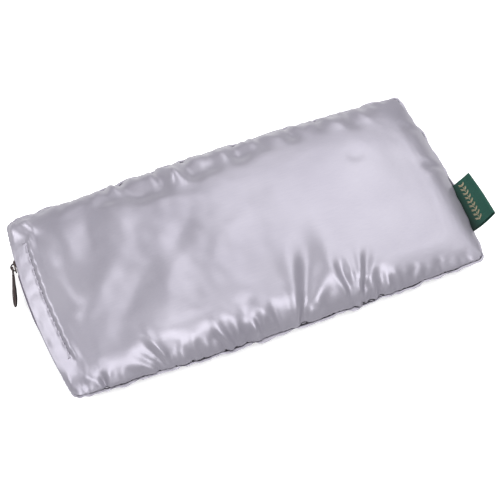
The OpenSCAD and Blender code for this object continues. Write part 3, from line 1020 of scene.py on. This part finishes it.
def make_label(materials):
    """Folded woven ribbon sewn into the seam, with a plain gold sprig woven on its face."""
    turn_at = 0.955
    ply_gap = 0.57
    shares = np.linspace(0, turn_at, 16)
    gap = 0.12 + 0.45 * smooth(0, 0.4, shares)
    path = list(zip(shares, gap))
    for a in np.linspace(0.5, 2.64, 5):
        path.append((turn_at + (1 - turn_at) * math.sin(a), ply_gap * math.cos(a)))
    path += list(zip(shares[::-1], -gap[::-1]))
    lanes = np.linspace(-1, 1, 31)
    waver = ripple(np.array([[(6 * s, 4 * a, 0) for a in lanes] for s, _ in path]), 2.5, 5.0)
    grid = []
    for (share, offset), drift in zip(path, waver):
        row = [label_point(share, a, offset * ply(a) + 0.22 * share * d) for a, d in zip(lanes, drift)]
        grid.append(row)
    grid = np.array(grid)
    faces = grid_faces(*grid.shape[:2])
    label = mesh_object("label_ribbon", grid.reshape(-1, 3), faces, materials["ribbon"])
    smoother = label.modifiers.new("Subdivision", "SUBSURF")
    smoother.levels = 2
    smoother.render_levels = 2
    cloth = label.modifiers.new("Thickness", "SOLIDIFY")
    cloth.thickness = RIBBON_T * MM
    cloth.offset = 0
    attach(label, "label")
    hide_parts("label_loop")

    def top_ply(share, across):
        return label_point(share, across, np.interp(share, shares, gap) * ply(across) + 0.24)

    # Motif: a stem of short stitches with a pair of leaves at each node
    stem = 0.45
    parts = []
    for k in range(13):
        a = -0.84 + 0.13 * k
        parts.append(stitch(top_ply(stem, a), top_ply(stem, a + 0.1), 0.16))
    for k in range(9):
        a = -0.78 + 0.19 * k
        for tip in (0.31, 0.59):
            root = stem + 0.1 * (tip - stem)
            for lane in (-0.02, 0.0, 0.02):
                end = top_ply(tip - abs(lane), a + 0.09 + 1.6 * lane)
                parts.append(stitch(top_ply(root, a + lane), end, 0.14))
    motif = mesh_object("label_sprig", *merge(parts), materials["gold"])
    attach(motif, "label")


def inset_sheet(side_in, zip_in, rise, power, floor):
    """Sheet of the inner bag or of the seed heap: like the cover, moved in from its seams."""
    u, v = np.meshgrid(even_ends(200, 0.6, 3.2, 0.12), even_ends(100, 0.2, 3.2, 0.2), indexing="ij")
    y = v * (side_y(u) - side_in)
    x = u * (end_x(y) - np.where(u < 0, zip_in, side_in))
    z = SEAM_Z + rise * swell(u, v, power)
    flat = np.stack([x, y, 0 * x], -1)
    lump = 0.5 * ripple(flat, 9, 3.3) * smooth(0, 0.3, swell(u, v, power))
    z = z + (lump - 0.5) * (1 if rise > 0 else -1)
    if floor is not None:
        z = np.maximum(z, floor)
    return np.stack([x, y, z], -1)


def closed_pair(upper, lower):
    """Points and faces of two sheets joined along their rims."""
    rows, cols = upper.shape[:2]
    points = np.concatenate([upper.reshape(-1, 3), lower.reshape(-1, 3)])
    faces = [tuple(reversed(f)) for f in grid_faces(rows, cols)]
    faces += grid_faces(rows, cols, base=rows * cols)
    rim = [i * cols for i in range(rows - 1)]
    rim += [(rows - 1) * cols + j for j in range(cols - 1)]
    rim += [i * cols + cols - 1 for i in range(rows - 1, 0, -1)]
    rim += list(range(cols - 1, 0, -1))
    base = rows * cols
    for k, a in enumerate(rim):
        b = rim[(k + 1) % len(rim)]
        faces.append((a, b, base + b, base + a))
    return points, faces


def inset_pair(side_in, zip_in, thinner_top, thinner_bottom, floor):
    """Upper and lower sheets that lie inside the cover's two panels."""
    upper = inset_sheet(side_in, zip_in, TOP_RISE - thinner_top, TOP_POWER, None)
    lower = inset_sheet(side_in, zip_in, thinner_bottom - BOTTOM_DROP, BOTTOM_POWER, floor)
    return upper, lower


def make_inner_bag(materials):
    """Muslin bag with its sewn edge."""
    upper, lower = inset_pair(4.2, 14.0, 3.6, 1.4, 1.3)
    bag = mesh_object("inner_bag", *closed_pair(upper, lower), materials["muslin"])
    smoother = bag.modifiers.new("Subdivision", "SUBSURF")
    smoother.levels = 1
    smoother.render_levels = 1
    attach(bag, "cover")
    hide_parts("inner_bag_top", "inner_bag_bottom")

    rim = np.concatenate([upper[:, 0], upper[-1, 1:], upper[-2::-1, -1], upper[0, -2:0:-1]])
    middle = rim.mean(0)
    walked = walk(rim)
    parts = []
    for k in range(int(walked[-1] // STITCH_PITCH)):
        a = point_along(rim, walked, (k + 0.12) * STITCH_PITCH)
        b = point_along(rim, walked, (k + 0.85) * STITCH_PITCH)
        shift = (a - middle) / np.linalg.norm(a - middle) * 0.15
        parts.append(stitch(a + shift, b + shift, 0.2))
    seam = mesh_object("inner_bag_stitches", *merge(parts), materials["muslin_thread"])
    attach(seam, "cover")
    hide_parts("inner_bag_seam_thread")


def seed_shape():
    """Points and faces of one flax seed, a flat pointed oval."""
    sides = 6
    turns = np.linspace(0, 2 * math.pi, sides, endpoint=False)
    points = [(0, 0, -1)]
    for rise in (-0.8, 0, 0.8):
        level = math.cos(rise)
        points += [(math.cos(a) * level, math.sin(a) * level, math.sin(rise)) for a in turns]
    points.append((0, 0, 1))
    tip = len(points) - 1
    last = tip - sides
    faces = [(0, 1 + (k + 1) % sides, 1 + k) for k in range(sides)]
    faces += grid_faces(3, sides, wrap=True, base=1)
    faces += [(last + k, last + (k + 1) % sides, tip) for k in range(sides)]
    return np.array(points) * (2.1, 1.1, 0.5), faces


def make_seeds(materials):
    """Heap of the filling, covered with single seeds."""
    count = 1100
    heap_top, heap_bottom = inset_pair(6.4, 16.5, 5.6, 2.8, 2.6)
    parts = [closed_pair(heap_top, heap_bottom)]
    shape, faces = seed_shape()
    for sheet, sign in ((heap_top, 1), (heap_bottom, -1)):
        rows, cols = sheet.shape[:2]
        for _ in range(count):
            i, j = rng.integers(3, rows - 3), rng.integers(5, cols - 5)
            turn, tip = rng.uniform(0, math.pi), rng.uniform(-0.35, 0.35)
            c, s = math.cos(turn), math.sin(turn)
            seed = shape.copy()
            seed[:, 2] += seed[:, 0] * tip
            seed[:, :2] = seed[:, :2] @ np.array([[c, s], [-s, c]])
            here = sheet[i, j] + (sheet[i + 1, j] - sheet[i, j]) * rng.uniform(0, 1)
            parts.append((seed + here + (0, 0, 0.3 * sign), faces))
    seeds = mesh_object("seed_heap", *merge(parts), materials["seeds"])
    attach(seeds, "cover")
    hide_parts("seed_fill")


def dress_metal(frame, materials):
    """Finish of the metal parts that stay as they are in the CAD."""
    for node in ("slider_body", "slider_bail", "pull_tab", "zip_bottom_stop"):
        part = frame["nodes"][node]
        part.data.materials.clear()
        part.data.materials.append(materials["metal"])
        edge = part.modifiers.new("Edges", "BEVEL")
        edge.width = 0.1 * MM
        edge.segments = 2
        edge.limit_method = "ANGLE"
        edge.angle_limit = math.radians(50)


# ---------- studio ----------


def make_floor():
    """White paper, which the satin sees as a softer grey."""
    m = Nodes("floor_paper")
    grain = m.cloud((12, 12, 12), detail=3)
    paper = m.ramp(grain, 0.2, 0.8, (0.93, 0.93, 0.93), (0.95, 0.95, 0.95))
    grey = m.ramp(grain, 0.2, 0.8, (0.6, 0.6, 0.6), (0.62, 0.62, 0.62))
    seen = m.add("ShaderNodeLightPath").outputs["Is Camera Ray"]
    shown = m.mix(seen, grey, paper)
    m.surface(Base_Color=shown, Roughness=0.9, Emission_Color=paper, Emission_Strength=m.level(seen, 0, 0.36))
    half = 4000
    corners = [(-half, -half, -0.05), (half, -half, -0.05), (half, half, -0.05), (-half, half, -0.05)]
    mesh_object("floor", corners, [(0, 1, 2, 3)], m.material)


def make_sky():
    """Studio walls and ceiling: brightest overhead, a little towards the zip end."""
    world = bpy.data.worlds.new("studio")
    bpy.context.scene.world = world
    world.use_nodes = True
    tree = world.node_tree
    coord = tree.nodes.new("ShaderNodeTexCoord")
    facing = tree.nodes.new("ShaderNodeVectorMath")
    facing.operation = "DOT_PRODUCT"
    facing.inputs[1].default_value = (-0.25, -0.16, 0.95)
    shift = tree.nodes.new("ShaderNodeMapRange")
    shift.inputs["From Min"].default_value = -1
    shift.inputs["From Max"].default_value = 1
    ramp = tree.nodes.new("ShaderNodeValToRGB")
    low, high = ramp.color_ramp.elements
    low.position = 0.12
    low.color = (0.2, 0.2, 0.21, 1)
    high.position = 0.88
    high.color = (1, 1, 1, 1)
    middle = ramp.color_ramp.elements.new(0.5)
    middle.color = (0.42, 0.42, 0.43, 1)
    back = tree.nodes["Background"]
    back.inputs["Strength"].default_value = 0.9
    tree.links.new(coord.outputs["Generated"], facing.inputs[0])
    tree.links.new(facing.outputs["Value"], shift.inputs["Value"])
    tree.links.new(shift.outputs[0], ramp.inputs["Fac"])
    tree.links.new(ramp.outputs["Color"], back.inputs["Color"])


def make_lamps():
    """Round soft lamps that all face the pillow: place, diameter and power."""
    lamps = (
        ("left", (-800, 420, 560), 450, 3.2),
        ("right", (640, 420, 1010), 1200, 8.0),
        ("front", (0, -560, 1050), 900, 8.6),
        ("back", (360, 1000, 760), 900, 2.1),
    )
    for name, place, size, power in lamps:
        lamp = bpy.data.lights.new(name, "AREA")
        lamp.energy = power
        lamp.shape = "DISK"
        lamp.size = size * MM
        made = bpy.data.objects.new(name, lamp)
        made.location = Vector(place) * MM
        made.rotation_euler = (-made.location).to_track_quat("-Z", "Y").to_euler()
        bpy.context.scene.collection.objects.link(made)


def make_camera():
    """Camera of the photograph: high over the near long side, turned a little towards the zip end."""
    azimuth = math.radians(-21.57)
    elevation = math.radians(56.9)
    distance = 991.75
    level = math.cos(elevation)
    back = Vector((math.sin(azimuth) * level, -math.cos(azimuth) * level, math.sin(elevation)))
    data = bpy.data.cameras.new("camera")
    data.lens = 136.8
    data.sensor_width = 36
    camera = bpy.data.objects.new("camera", data)
    camera.location = (Vector((3.54, -1.75, 0)) + back * distance) * MM
    camera.rotation_euler = (-back).to_track_quat("-Z", "Y").to_euler()
    bpy.context.scene.collection.objects.link(camera)
    bpy.context.scene.camera = camera


# ---------- scene ----------

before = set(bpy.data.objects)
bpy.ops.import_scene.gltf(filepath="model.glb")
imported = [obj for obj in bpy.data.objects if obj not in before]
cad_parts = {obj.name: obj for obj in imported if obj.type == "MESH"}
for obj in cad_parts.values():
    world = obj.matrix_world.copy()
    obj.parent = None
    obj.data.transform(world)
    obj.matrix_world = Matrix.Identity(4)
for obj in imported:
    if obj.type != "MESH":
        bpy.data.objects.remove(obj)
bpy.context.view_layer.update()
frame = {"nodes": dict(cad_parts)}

materials = {
    "satin": satin_material("satin", (0.25, 0.237, 0.283), (0.29, 0.276, 0.323), 0.36),
    "thread": thread_material("sewing_thread", (0.30, 0.28, 0.34), (0.42, 0.40, 0.46)),
    "muslin": woven_material("muslin", (0.55, 0.5, 0.41), (0.8, 0.76, 0.67), 0.31, 0.85, 0.2, 0.12),
    "muslin_thread": thread_material("muslin_thread", (0.6, 0.56, 0.48), (0.8, 0.77, 0.7)),
    "seeds": seed_material("flax_seed", (0.12, 0.05, 0.02), (0.34, 0.17, 0.07)),
    "tape": woven_material("zip_tape", (0.10, 0.085, 0.12), (0.22, 0.19, 0.25), 0.28, 0.8, 0.1, 0.1),
    "coil": plastic_material("zip_coil", (0.06, 0.05, 0.07), (0.15, 0.13, 0.16)),
    "metal": metal_material("gunmetal", (0.012, 0.010, 0.011), (0.075, 0.058, 0.056)),
    "ribbon": ribbon_material("label_ribbon", (0.006, 0.040, 0.028), (0.014, 0.085, 0.062)),
    "gold": thread_material("gold_thread", (0.17, 0.135, 0.075), (0.34, 0.28, 0.18)),
}

panels = make_cover(materials)
make_seam_threads(panels, materials)
for is_top, panel_sheet in zip((True, False), panels):
    make_topstitch(panel_sheet, is_top, materials)
    make_tape(is_top, materials)
    make_coil(is_top, materials)
    make_top_stop(is_top, materials)
make_label(materials)
make_inner_bag(materials)
make_seeds(materials)
dress_metal(frame, materials)
make_floor()
make_sky()
make_lamps()
make_camera()
bpy.context.scene.view_settings.view_transform = "Standard"
